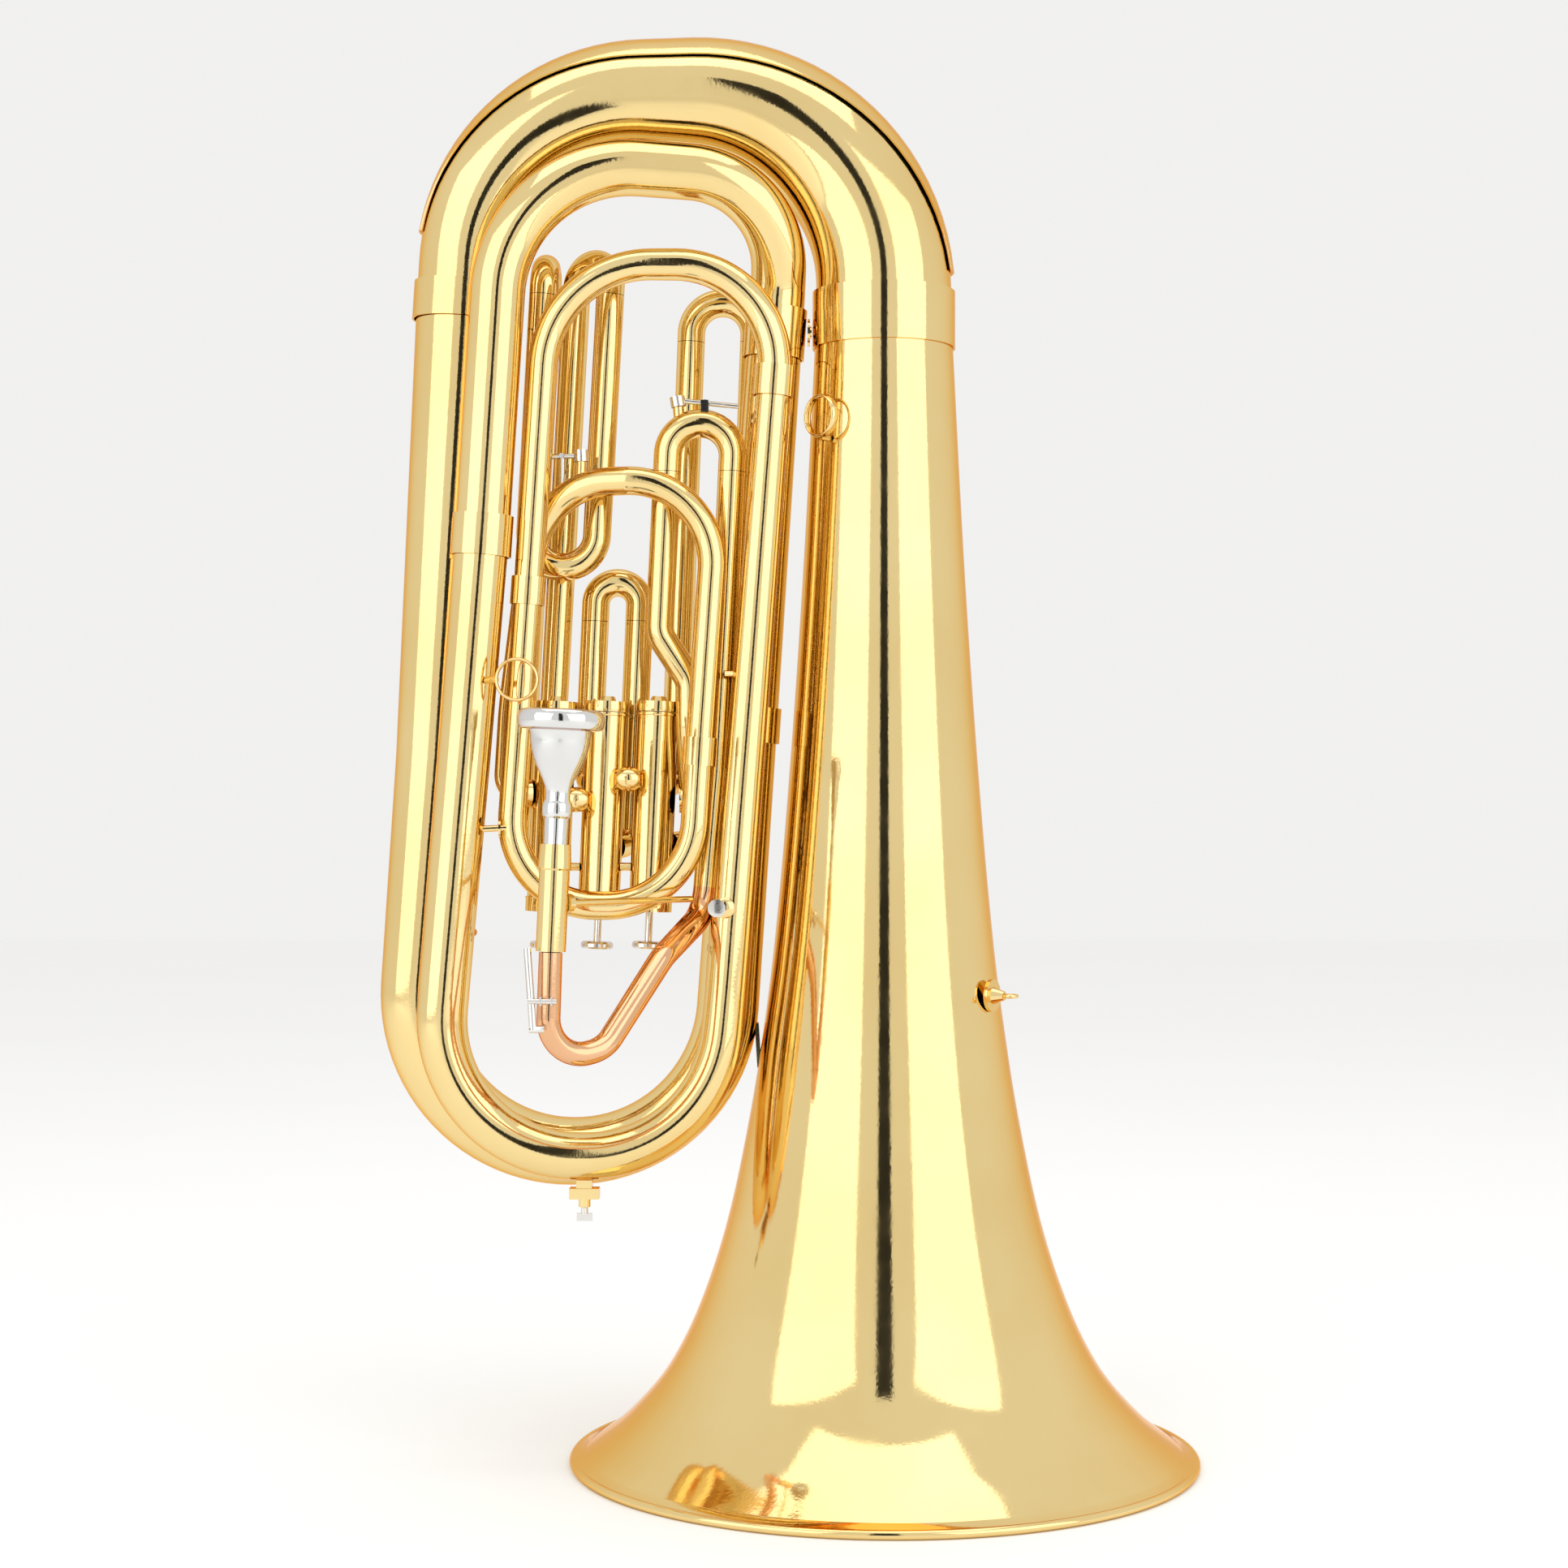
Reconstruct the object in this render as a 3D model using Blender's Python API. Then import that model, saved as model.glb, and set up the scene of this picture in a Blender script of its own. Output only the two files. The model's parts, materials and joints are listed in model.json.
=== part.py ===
"""Convertible tuba standing on its bell, as an assembly of tubes, ferrules, slides and piston valves.

Millimetres in the tables, metres in the scene. The bell axis is the vertical line through
(BELL_X, 0); the tubing wraps to its left in a rear plane (y = 0) and a front plane (y about -40),
and every leg leans a few degrees, its lower end to the left.
"""
import math

import bmesh
import bpy
from mathutils import Matrix, Vector

# ---------------------------------------------------------------- driving dimensions (mm)
BELL_X = 55.4              # bell axis from the middle of the outline
BELL_RIM_R = 184.0         # 14.5 inch bell
BELL_WALL = 1.0
BEAD_R = 2.6               # wired rim
BELL_STATIONS = (          # (height above the rim, outside radius) along the bell
    (2.6, 181.0), (8.0, 173.0), (25.0, 151.5), (56.0, 125.5), (94.0, 107.0), (142.0, 91.5),
    (190.0, 81.0), (230.0, 74.0), (302.0, 64.4), (412.0, 54.8), (532.0, 46.8), (660.0, 40.2))
CYL_R = 8.2                # cylindrical tubing, outside
WALL = 0.8
SLEEVE = 1.2               # thickness of a ferrule
GAP = 0.3                  # between touching pieces
SLIDE_INNER_R = 6.9       # inner legs of the slides
SLIDE_BORE_R = 7.6        # outer legs they run in
VALVE_PITCH = 29.8
VALVE_2_X, VALVE_Y = -163.8, -10.0   # middle valve at height VALVE_Z
VALVE_Z = 392.0
VALVE_LEAN = 0.0441        # x per z
CASING_R, CASING_BORE = 12.2, 11.2
CASING_BOTTOM, CASING_TOP = 322.0, 438.0
PISTON_R = 10.9
PISTON_BOTTOM, PISTON_TOP = 342.0, 408.0
VALVE_STROKE = 15.0
BUTTON_R, BUTTON_T = 9.3, 4.0
BUTTON_Z = 300.3
SIDES = 10

for o in list(bpy.data.objects):
    bpy.data.objects.remove(o, do_unlink=True)

BRASS = (0.83, 0.60, 0.22)
ROSE = (0.78, 0.42, 0.20)
SILVER = (0.90, 0.91, 0.90)
BLACK = (0.03, 0.03, 0.03)

bell_axis = bpy.data.objects.new("bell_axis", None)
bell_axis.location = (BELL_X / 1000, 0, 0)
bpy.context.scene.collection.objects.link(bell_axis)


def material(name, colour, rough=0.18, metal=1.0):
    m = bpy.data.materials.new(name)
    m.use_nodes = True
    b = m.node_tree.nodes["Principled BSDF"]
    b.inputs["Base Color"].default_value = (*colour, 1)
    b.inputs["Roughness"].default_value = rough
    b.inputs["Metallic"].default_value = metal
    return m


def finish(name, bm, colour=BRASS, pivot=None, metal=1.0):
    """One closed body into one named object; its origin sits on pivot, in mm."""
    bmesh.ops.remove_doubles(bm, verts=bm.verts, dist=1e-7)
    bmesh.ops.recalc_face_normals(bm, faces=bm.faces)
    if bm.calc_volume(signed=True) < 0:
        bmesh.ops.reverse_faces(bm, faces=bm.faces)
    p = Vector(pivot or (0, 0, 0)) * 0.001
    bmesh.ops.translate(bm, verts=bm.verts, vec=-p)
    me = bpy.data.meshes.new(name)
    bm.to_mesh(me)
    bm.free()
    me.shade_smooth()
    me.set_sharp_from_angle(angle=math.radians(40))
    ob = bpy.data.objects.new(name, me)
    ob.location = p
    ob.parent = bell_axis
    bpy.context.scene.collection.objects.link(ob)
    me.materials.append(material(name, colour, metal=metal))
    return ob


def rounded(corners, step=math.radians(30)):
    """Centre line through corners (x, y, z, fillet radius): straight runs joined by arcs."""
    pts = [Vector(c[:3]) for c in corners]
    runs = [(b - a).length for a, b in zip(pts, pts[1:])]
    turns = [0.0] + [math.pi - (a - b).angle(c - b) for a, b, c in zip(pts, pts[1:], pts[2:])] + [0.0]
    want = [c[3] * math.tan(w / 2) for c, w in zip(corners, turns)]
    out = [pts[0]]
    for i in range(1, len(pts) - 1):
        a, b, c = pts[i - 1], pts[i], pts[i + 1]
        u, v = (a - b).normalized(), (c - b).normalized()
        turn = turns[i]
        if turn < 0.02:
            out.append(b)
            continue
        t = want[i] * min(1.0, 0.995 * runs[i - 1] / max(want[i - 1] + want[i], 1e-6),
                          0.995 * runs[i] / max(want[i] + want[i + 1], 1e-6))
        r = t / math.tan(turn / 2)
        centre = b + (u + v).normalized() * (r / math.cos(turn / 2))
        p0, n = b + u * t, max(1, round(turn / step))
        axis = (-u).cross(v).normalized()
        for k in range(n + 1):
            out.append(centre + Matrix.Rotation(turn * k / n, 3, axis) @ (p0 - centre))
    out.append(pts[-1])
    keep = [out[0]]
    for p in out[1:]:
        if (p - keep[-1]).length > 0.05:
            keep.append(p)
    return keep


def ring_frames(pts):
    """A cross-section frame at each point, carried along without twist."""
    tans = []
    for i, p in enumerate(pts):
        a, b = pts[max(i - 1, 0)], pts[min(i + 1, len(pts) - 1)]
        d = (b - a).normalized()
        if 0 < i < len(pts) - 1:
            d = ((p - pts[i - 1]).normalized() + (pts[i + 1] - p).normalized()).normalized()
        tans.append(d)
    n = tans[0].orthogonal().normalized()
    frames = []
    for i, t in enumerate(tans):
        if i:
            n = tans[i - 1].rotation_difference(t) @ n
        n = (n - t * n.dot(t)).normalized()
        frames.append((n, t.cross(n)))
    return frames


def law(stations, f):
    for (f0, r0), (f1, r1) in zip(stations, stations[1:]):
        if f <= f1:
            return r0 + (r1 - r0) * (f - f0) / max(f1 - f0, 1e-9)
    return stations[-1][1]


def sweep(bm, pts, outer, inner, sides=SIDES):
    """Hollow tube along pts; outer and inner give the radii at each point."""
    frames = ring_frames(pts)
    rings = []
    for radii in (outer, inner):
        loop = []
        for p, (n, b), r in zip(pts, frames, radii):
            loop.append([bm.verts.new((p + (n * math.cos(a) + b * math.sin(a)) * r) * 0.001)
                         for a in (2 * math.pi * k / sides for k in range(sides))])
        rings.append(loop)
    for loop, flip in zip(rings, (False, True)):
        for r0, r1 in zip(loop, loop[1:]):
            for k in range(sides):
                q = [r0[k], r0[(k + 1) % sides], r1[(k + 1) % sides], r1[k]]
                bm.faces.new(q[::-1] if flip else q)
    for i, flip in ((0, True), (-1, False)):
        o, n = rings[0][i], rings[1][i]
        for k in range(sides):
            q = [o[k], o[(k + 1) % sides], n[(k + 1) % sides], n[k]]
            bm.faces.new(q[::-1] if flip else q)


def tube(name, corners, radii, wall=WALL, colour=BRASS, sides=SIDES, step=math.radians(30)):
    pts = rounded(corners, step)
    total = sum((b - a).length for a, b in zip(pts, pts[1:]))
    run, outer = 0.0, []
    for i, p in enumerate(pts):
        if i:
            run += (p - pts[i - 1]).length
        outer.append(law(radii, run / total))
    bm = bmesh.new()
    sweep(bm, pts, outer, [r - wall for r in outer], sides)
    return finish(name, bm, colour)


def sleeve(name, lower, upper, tube_r, length_axis=None, sides=16):
    """Ferrule: a short collar round the joint of two tubes."""
    a, b = Vector(lower), Vector(upper)
    bm = bmesh.new()
    scale = 1 / math.cos(math.pi / sides)
    sweep(bm, [a, b], [tube_r + GAP + SLEEVE] * 2, [(tube_r + GAP) * scale] * 2, sides)
    return finish(name, bm)


def turned(bm, base, axis, profile, sides=SIDES):
    """Closed profile of (radius, height) pairs turned about axis; radius 0 closes on the axis."""
    base, t = Vector(base), Vector(axis).normalized()
    n = t.orthogonal().normalized()
    b = t.cross(n)
    rows = []
    for r, h in profile:
        if r < 1e-6:
            rows.append([bm.verts.new((base + t * h) * 0.001)])
        else:
            rows.append([bm.verts.new((base + t * h + (n * math.cos(a) + b * math.sin(a)) * r) * 0.001)
                         for a in (2 * math.pi * k / sides for k in range(sides))])
    closed = profile[0][0] > 1e-6
    pairs = list(zip(rows, rows[1:])) + ([(rows[-1], rows[0])] if closed else [])
    for r0, r1 in pairs:
        for k in range(sides):
            k2 = (k + 1) % sides
            if len(r0) == 1:
                bm.faces.new([r0[0], r1[k2], r1[k]])
            elif len(r1) == 1:
                bm.faces.new([r0[k], r0[k2], r1[0]])
            else:
                bm.faces.new([r0[k], r0[k2], r1[k2], r1[k]])


def lathe(name, base, axis, profile, colour=BRASS, sides=SIDES, pivot=None, metal=1.0):
    bm = bmesh.new()
    turned(bm, base, axis, profile, sides)
    return finish(name, bm, colour, pivot, metal)


def rod(a, b, r, sides=8, r2=None):
    a, b = Vector(a), Vector(b)
    bm = bmesh.new()
    turned(bm, a, b - a, [(0, 0), (r, 0), (r if r2 is None else r2, (b - a).length), (0, (b - a).length)], sides)
    return bm


def block(centre, size, axis_x=(1, 0, 0)):
    bm = bmesh.new()
    bmesh.ops.create_cube(bm, size=1.0)
    x = Vector(axis_x).normalized()
    z = Vector((0, 0, 1))
    y = z.cross(x).normalized()
    z = x.cross(y)
    rot = Matrix((x, y, z)).transposed()
    for v in bm.verts:
        p = Vector((v.co.x * size[0], v.co.y * size[1], v.co.z * size[2]))
        v.co = (Vector(centre) + rot @ p) * 0.001
    return bm


def hoop(centre, normal, radius, wire, sides=24, section=6):
    c, t = Vector(centre), Vector(normal).normalized()
    n = t.orthogonal().normalized()
    b = t.cross(n)
    bm = bmesh.new()
    rows = []
    for k in range(sides):
        a = 2 * math.pi * k / sides
        d = n * math.cos(a) + b * math.sin(a)
        rows.append([bm.verts.new((c + d * (radius + wire[0] * math.cos(s)) + t * wire[1] * math.sin(s)) * 0.001)
                     for s in (2 * math.pi * j / section for j in range(section))])
    for k in range(sides):
        r0, r1 = rows[k], rows[(k + 1) % sides]
        for j in range(section):
            bm.faces.new([r0[j], r1[j], r1[(j + 1) % section], r0[(j + 1) % section]])
    return bm


def fuse(name, bodies, colour=BRASS, pivot=None):
    """Soldered or screwed-up group: overlapping bodies joined by exact unions into one."""
    obs = []
    for i, bm in enumerate(bodies):
        bmesh.ops.recalc_face_normals(bm, faces=bm.faces)
        if bm.calc_volume(signed=True) < 0:
            bmesh.ops.reverse_faces(bm, faces=bm.faces)
        me = bpy.data.meshes.new(f"{name}_{i}")
        bm.to_mesh(me)
        bm.free()
        ob = bpy.data.objects.new(f"{name}_{i}", me)
        bpy.context.scene.collection.objects.link(ob)
        obs.append(ob)
    for other in obs[1:]:
        mod = obs[0].modifiers.new("join", "BOOLEAN")
        mod.operation, mod.solver, mod.object = "UNION", "EXACT", other
    dep = bpy.context.evaluated_depsgraph_get()
    dep.update()
    bm = bmesh.new()
    bm.from_mesh(obs[0].evaluated_get(dep).to_mesh())
    for ob in obs:
        bpy.data.objects.remove(ob, do_unlink=True)
    bmesh.ops.triangulate(bm, faces=bm.faces)
    bmesh.ops.dissolve_degenerate(bm, dist=2e-6, edges=bm.edges)
    return finish(name, bm, colour, pivot)


# ---------------------------------------------------------------- bell
outer = [(r, z) for z, r in BELL_STATIONS]
inner = [(r - BELL_WALL, z) for z, r in reversed(BELL_STATIONS)]
bead = [(BELL_RIM_R - 6.5, 0.0), (BELL_RIM_R - BEAD_R * 0.6, 0.0), (BELL_RIM_R, BEAD_R), (BELL_RIM_R - 1.5, 2 * BEAD_R)]
lathe("bell", (0, 0, 0), (0, 0, 1), bead + outer[1:] + inner, sides=32)
sleeve("bell_ferrule", (0, 0, 651.5), (0, 0, 684.5), 40.4, sides=24)

# ---------------------------------------------------------------- main bugle, from the bell inwards
TOP_BOW = [(0, 0, 660.6, 0), (0, 0, 797.3, 112), (-238.5, 0, 797.3, 104), (-246.4, 0, 672.4, 0)]
tube("top_bow", TOP_BOW,
     [(0, 40.0), (0.08, 39.6), (0.92, 28.2), (1, 28.0)], sides=14, step=math.radians(18))
sleeve("top_bow_ferrule", (-246.8, 0, 667.0), (-245.4, 0, 689.0), 28.5, sides=20)
tube("bottom_bow", [(-246.5, 0, 671.8, 0), (-262.6, 0, 412.0, 400), (-273.0, 0, 285.0, 400), (-281.0, 0, 181.0, 91),
                    (-97.5, 0, 181.0, 91), (-79.6, 0, 435.6, 0)],
     [(0, 27.9), (0.42, 22.0), (0.62, 20.0), (0.8, 18.2), (1, 17.4)], sides=14, step=math.radians(18))
sleeve("bottom_bow_ferrule", (-80.6, 0, 421.0), (-79.2, 0, 441.5), 17.8)
tube("second_branch", [(-79.55, 0, 436.2, 0), (-64.7, 0, 648.0, 0)], [(0, 17.4), (1, 16.2)])
sleeve("second_branch_ferrule", (-64.9, 0, 646.0), (-62.9, 0, 675.0), 16.5)
tube("second_bow", [(-64.65, 0, 648.6, 0), (-62.1, 0, 686.5, 40), (-60.0, -24, 746.0, 56), (-217.5, -43, 753.4, 78), (-231.0, -43, 540.4, 0)],
     [(0, 16.2), (1, 15.6)], step=math.radians(24))
sleeve("second_bow_ferrule", (-232.0, -43, 526.0), (-230.4, -43, 549.5), 15.9)
tube("inner_bow", [(-231.04, -43, 539.8, 0), (-241.4, -43, 411.0, 400), (-252.1, -43, 287.7, 400), (-260.5, -43, 183.0, 78),
                   (-101.0, -40, 183.0, 78), (-92.0, -35, 272.8, 300), (-77.5, -35, 456.5, 0), (-64.5, -35, 627.0, 0)],
     [(0, 15.5), (0.3, 14.6), (0.5, 13.2), (0.65, 12.0), (0.85, 10.8), (1, 10.0)], step=math.radians(18))
sleeve("inner_bow_ferrule", (-65.2, -35, 618.5), (-63.9, -35, 636.0), 10.2)
tube("third_bow", [(-64.46, -35, 627.6, 0), (-59.0, -36, 693.9, 57), (-193.0, -38, 693.9, 62), (-205.3, -38, 506.6, 0)],
     [(0, 9.9), (0.4, 8.9), (1, 8.4)], step=math.radians(18))
sleeve("third_bow_ferrule", (-205.8, -38, 498.5), (-204.7, -38, 514.5), 8.5)
tube("fourth_bow", [(-205.34, -38, 506.0, 0), (-214.1, -38, 380.0, 400), (-217.0, -38, 326.1, 51), (-112.5, -38, 326.1, 51),
                    (-107.2, -38, 414.2, 0)], [(0, CYL_R), (1, CYL_R)], step=math.radians(18))
sleeve("fourth_bow_ferrule", (-107.7, -38, 406.5), (-106.7, -38, 422.5), CYL_R)
tube("fifth_bow", [(-107.16, -38, 414.8, 0), (-96.5, -38, 569.7, 49), (-148.0, -38, 569.7, 2), (-200.0, -20.2, 569.7, 49), (-216.0, -19.6, 440.0, 100),
                   (-219.5, -15.5, 391.0, 10.5), (-206.4, -11.5, 391.0, 0)],
     [(0, CYL_R), (1, CYL_R)], step=math.radians(26))

# guard plate soldered along the outside of the top bow
line = rounded(TOP_BOW, math.radians(18))
length = sum((b - a).length for a, b in zip(line, line[1:]))
bm = bmesh.new()
rows, run = [], 0.0
for i, c in enumerate(line):
    if i:
        run += (c - line[i - 1]).length
    if not 2 <= i <= len(line) - 4:
        continue
    t = (line[i + 1] - c).normalized() + (c - line[i - 1]).normalized()
    d = t.cross(Vector((0, 1, 0))).normalized()
    if d.dot(c - Vector((-120, 0, 670))) < 0:
        d = -d
    r_tube = law([(0, 40.0), (0.08, 39.6), (0.92, 28.2), (1, 28.0)], run / length)
    width = 0.30 + 0.68 * math.sin(math.pi * (i - 1.5) / (len(line) - 5.0))
    seg = [[bm.verts.new((c + (d * math.cos(b) + Vector((0, 1, 0)) * math.sin(b)) * rr) * 0.001)
            for b in (width * (j / 4 - 1) for j in range(9))] for rr in (r_tube + 2.1, r_tube + 1.0)]
    rows.append(seg[0] + seg[1][::-1])
for r0, r1 in zip(rows, rows[1:]):
    for j in range(18):
        bm.faces.new([r0[j], r0[(j + 1) % 18], r1[(j + 1) % 18], r1[j]])
bm.faces.new(rows[0])
bm.faces.new(rows[-1][::-1])
finish("top_bow_guard", bm)

# ---------------------------------------------------------------- valves
VDIR = Vector((VALVE_LEAN, 0, 1)).normalized()


def valve_point(n, z):
    """Point on the axis of valve n at height z; valve 1 is the right-hand one."""
    x = VALVE_2_X + (2 - n) * VALVE_PITCH + (z - VALVE_Z) * VALVE_LEAN
    return Vector((x, VALVE_Y, z))


for n in (1, 2, 3):
    base = valve_point(n, CASING_BOTTOM)
    h = CASING_TOP - CASING_BOTTOM
    lathe(f"valve_casing_{n}", base, VDIR,
          [(3.0, 0), (12.9, 0), (12.9, 7), (CASING_R, 8), (CASING_R, h), (CASING_BORE, h), (CASING_BORE, 4), (3.0, 4)],
          sides=16)
    top = valve_point(n, CASING_TOP + GAP)
    lathe(f"valve_cap_{n}", top, VDIR, [(0, 0), (12.8, 0), (13.0, 1.5), (12.8, 6.0), (5.0, 6.6), (4.0, 9.0), (0, 9.0)], sides=16)
    zb = BUTTON_Z - PISTON_BOTTOM
    lathe(f"piston_{n}", valve_point(n, PISTON_BOTTOM), VDIR,
          [(0, zb), (BUTTON_R - 1, zb), (BUTTON_R, zb + 1), (BUTTON_R, zb + 3), (BUTTON_R - 1, zb + BUTTON_T),
           (2.2, zb + BUTTON_T + 0.2), (2.2, 0), (PISTON_R, 0), (PISTON_R, PISTON_TOP - PISTON_BOTTOM), (0, PISTON_TOP - PISTON_BOTTOM)],
          sides=16, pivot=valve_point(n, PISTON_BOTTOM))
    sp = valve_point(n, PISTON_TOP + GAP)
    sh = CASING_TOP - PISTON_TOP - 2 * GAP
    lathe(f"valve_spring_{n}", sp, VDIR, [(6.2, 0), (8.2, 0), (8.2, sh), (6.2, sh)], SILVER, sides=12)

# rounded crossing tubes between neighbouring casings
for name, a, b, z in (("crossover_tube_12", 1, 2, 399.0), ("crossover_tube_23", 2, 3, 387.0)):
    m = (valve_point(a, z) + valve_point(b, z)) / 2 + Vector((0, -13.6, 0))
    lathe(name, m + Vector((7.5, 0, 0)), (-1, 0, 0),
          [(0, 0), (4.6, 0.8), (6.8, 3.8), (7.4, 7.5), (6.8, 11.2), (4.6, 14.2), (0, 15.0)], sides=12)

# ---------------------------------------------------------------- slides


def leg(x, z_ref, lean, y, z):
    return Vector((x + (z - z_ref) * lean, y, z))


def crook(name, left, right, lean, z_leg, z_apex, inner_len, spread=None):
    """U-shaped slide: thick crook, then thinner inner legs that run in the outer tubes."""
    d = Vector((lean, 0, 1)).normalized()
    a, b = Vector(left), Vector(right)
    half = (a - b).length / 2
    up_a, up_b = a + d * (z_apex - z_leg), b + d * (z_apex - z_leg)
    arc = rounded([(*a, 0), (*up_a, half * 0.99), (*up_b, half * 0.99), (*b, 0)], math.radians(22))
    pts = [a - d * inner_len, a - d * 0.2] + arc + [b - d * 0.2, b - d * inner_len]
    radii = [SLIDE_INNER_R, SLIDE_INNER_R] + [CYL_R] * len(arc) + [SLIDE_INNER_R, SLIDE_INNER_R]
    bm = bmesh.new()
    sweep(bm, pts, radii, [SLIDE_INNER_R - 0.6] * len(pts))
    return finish(name, bm, BRASS, pivot=a)


MAIN_LEAN = 0.047
ZM = 577.0
mL, mR = leg(-125.9, 587, MAIN_LEAN, -21, ZM), leg(-88.2, 587, MAIN_LEAN, -21, ZM)
crook("main_tuning_slide", mL, mR, MAIN_LEAN, ZM, 605.0, 50)
W = CYL_R - SLIDE_BORE_R
down = Vector((-MAIN_LEAN, 0, -1)).normalized()
a = mL + down * 0.3
tube("main_slide_outer", [(*a, 0), (-130.8, -21, 483, 16), (-113.3, -21, 456, 16), (-113.1, -21, 428, 50),
                          (-111.6, -9.8, 387.5, 7.6), (-119.6, -10.0, 387.5, 0)], [(0, CYL_R), (1, CYL_R)], wall=W)
b = mR + down * 0.3
tube("leadpipe", [(*b, 0), (*leg(-88.2, 587, MAIN_LEAN, -21, 500), 100), (-97.5, -23.6, 404, 100), (-104.6, -23, 322, 24),
                  (-127.0, -68, 298, 28), (-157.0, -108, 250, 24), (-187.0, -125, 243, 20), (-184.9, -125, 303.5, 0)],
     [(0, CYL_R), (0.45, CYL_R), (0.62, 7.2), (1, 6.4)], wall=W, colour=ROSE)

S1_LEAN = 0.0368
Z1 = 660.0
aL, aR = leg(-114.2, 655, S1_LEAN, 26, Z1), leg(-76.8, 655, S1_LEAN, 26, Z1)
crook("first_valve_slide", aL, aR, S1_LEAN, Z1, 683.5, 48)
d1 = Vector((-S1_LEAN, 0, -1)).normalized()
tube("first_slide_outer_left", [(*(aL + d1 * 0.3), 0), (-124.0, 26, 398, 10), (-130.3, 3.0, 396, 0)], [(0, CYL_R), (1, CYL_R)], wall=W)
tube("first_slide_outer_right", [(*(aR + d1 * 0.3), 0), (*leg(-76.8, 655, S1_LEAN, 26, 478), 22), (-104.4, 25, 447, 22), (-104.6, 18, 362, 12),
                                 (-125.4, -0.9, 360, 0)], [(0, CYL_R), (1, CYL_R)], wall=W)

S2_LEAN = 0.044
Z2 = 493.0
bL, bR = leg(-170.1, 502, S2_LEAN, 15, Z2), leg(-144.0, 502, S2_LEAN, 15, Z2)
crook("second_valve_slide", bL, bR, S2_LEAN, Z2, 515.8, 34)
d2 = Vector((-S2_LEAN, 0, -1)).normalized()
tube("second_slide_outer_left", [(*(bL + d2 * 0.3), 0), (-174.8, 15, 398, 10), (-169.9, 1.5, 397, 0)], [(0, CYL_R), (1, CYL_R)], wall=W)
tube("second_slide_outer_right", [(*(bR + d2 * 0.3), 0), (-150.2, 15, 362, 10), (-158.6, 1.8, 360, 0)], [(0, CYL_R), (1, CYL_R)], wall=W)

S3_LEAN = 0.055
Z3 = 683.0
t3, t2 = leg(-161.4, 666, S3_LEAN, -2, Z3), leg(-182.9, 666, S3_LEAN, 17, Z3)
crook("third_valve_slide", t3, t2, S3_LEAN, Z3, 703.0, 30)
d3 = Vector((-S3_LEAN, 0, -1)).normalized()
t1, t4 = leg(-199.3, 692, S3_LEAN, -2, Z3), leg(-199.3, 692, S3_LEAN, 26, Z3)
crook("third_valve_slide_side", t1, t4, S3_LEAN, Z3, 701.0, 30)
tube("third_slide_outer_rear", [(*(t2 + d3 * 0.3), 0), (-198.8, 17, 374, 12), (-195.6, 2.8, 373, 0)], [(0, CYL_R), (1, CYL_R)], wall=W)
tube("third_slide_outer_side", [(*(t4 + d3 * 0.3), 0), (-218.0, 26, 350, 14), (-202.4, 0.8, 349, 0)], [(0, CYL_R), (1, CYL_R)], wall=W)
tube("third_slide_bow", [(*(t3 + d3 * 0.3), 0), (*leg(-161.4, 666, S3_LEAN, -2, 523.5), 19.4), (*leg(-199.3, 692, S3_LEAN, -2, 523.5), 19.4),
                         (*(t1 + d3 * 0.3), 0)], [(0, CYL_R), (1, CYL_R)], wall=W)

# ---------------------------------------------------------------- mouthpiece and receiver
MP_LEAN = 0.045
MP = Vector((-182.3, -125, 362.0))
MPD = Vector((MP_LEAN, 0, 1)).normalized()
lathe("mouthpiece_receiver", MP - MPD * 58.0, MPD,
      [(6.75, 0), (8.2, 0), (8.2, 44), (9.0, 45), (9.0, 48), (8.4, 58), (6.75, 58)], sides=16)
lathe("mouthpiece", MP, MPD,
      [(4.2, -26), (5.8, -26), (6.4, -0.5), (6.7, 14), (8.2, 16.5), (8.2, 22), (6.8, 24), (7.2, 32), (11.5, 42), (15.8, 53),
       (16.9, 61), (23.0, 62.5), (23.8, 67), (22.6, 72), (20.0, 73), (16.2, 70), (15.0, 58), (10.5, 44), (4.2, 32)],
      SILVER, sides=20, pivot=MP)

# ---------------------------------------------------------------- water keys, screws, rings and braces
fuse("leadpipe_water_key",
     [rod((-197.0, -131.5, 306), (-193.6, -134.5, 262), 2.0), rod((-196.6, -134.6, 277.5), (-180.8, -134.6, 277.5), 1.5),
      rod((-195.8, -134.6, 262.5), (-188.0, -133.5, 262.5), 2.0)], SILVER, pivot=(-188.7, -134.6, 277.5))
fuse("main_slide_water_key",
     [rod((-122.5, -21, 618.6), (-85.0, -21, 614.8), 1.5), rod((-120.6, -21, 620.4), (-119.6, -21, 614.6), 4.4),
      rod((-104.5, -25.0, 616.8), (-104.5, -17.0, 616.8), 1.6)], SILVER, pivot=(-104.5, -21, 616.8))
fuse("bow_water_key",
     [rod((-194.0, -24.6, 585.2), (-173.5, -24.4, 586.0), 1.5), rod((-176.0, -24.4, 589.0), (-175.8, -24.4, 582.4), 4.4),
      rod((-187.0, -28.5, 585.4), (-187.0, -20.5, 585.4), 1.5)], SILVER, pivot=(-187.0, -24.5, 585.4))
fuse("thumb_ring_left",
     [hoop((-209.5, -61.5, 454.5), (0, 1, 0), 11.6, (1.0, 1.8)), rod((-221.0, -61.5, 454.5), (-227.4, -54.6, 454.5), 2.0)])
fuse("thumb_ring_right",
     [hoop((-37.4, -33.9, 607.5), (0.74, 0.67, 0), 11.6, (1.0, 2.6)), rod((-37.8, -34.3, 595.6), (-33.2, -30.0, 595.6), 2.2)])
strap = Vector((math.sin(math.radians(60)), -math.cos(math.radians(60)), 0.0))
S0 = strap * 69.2 + Vector((0, 0, 274.4))
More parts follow.
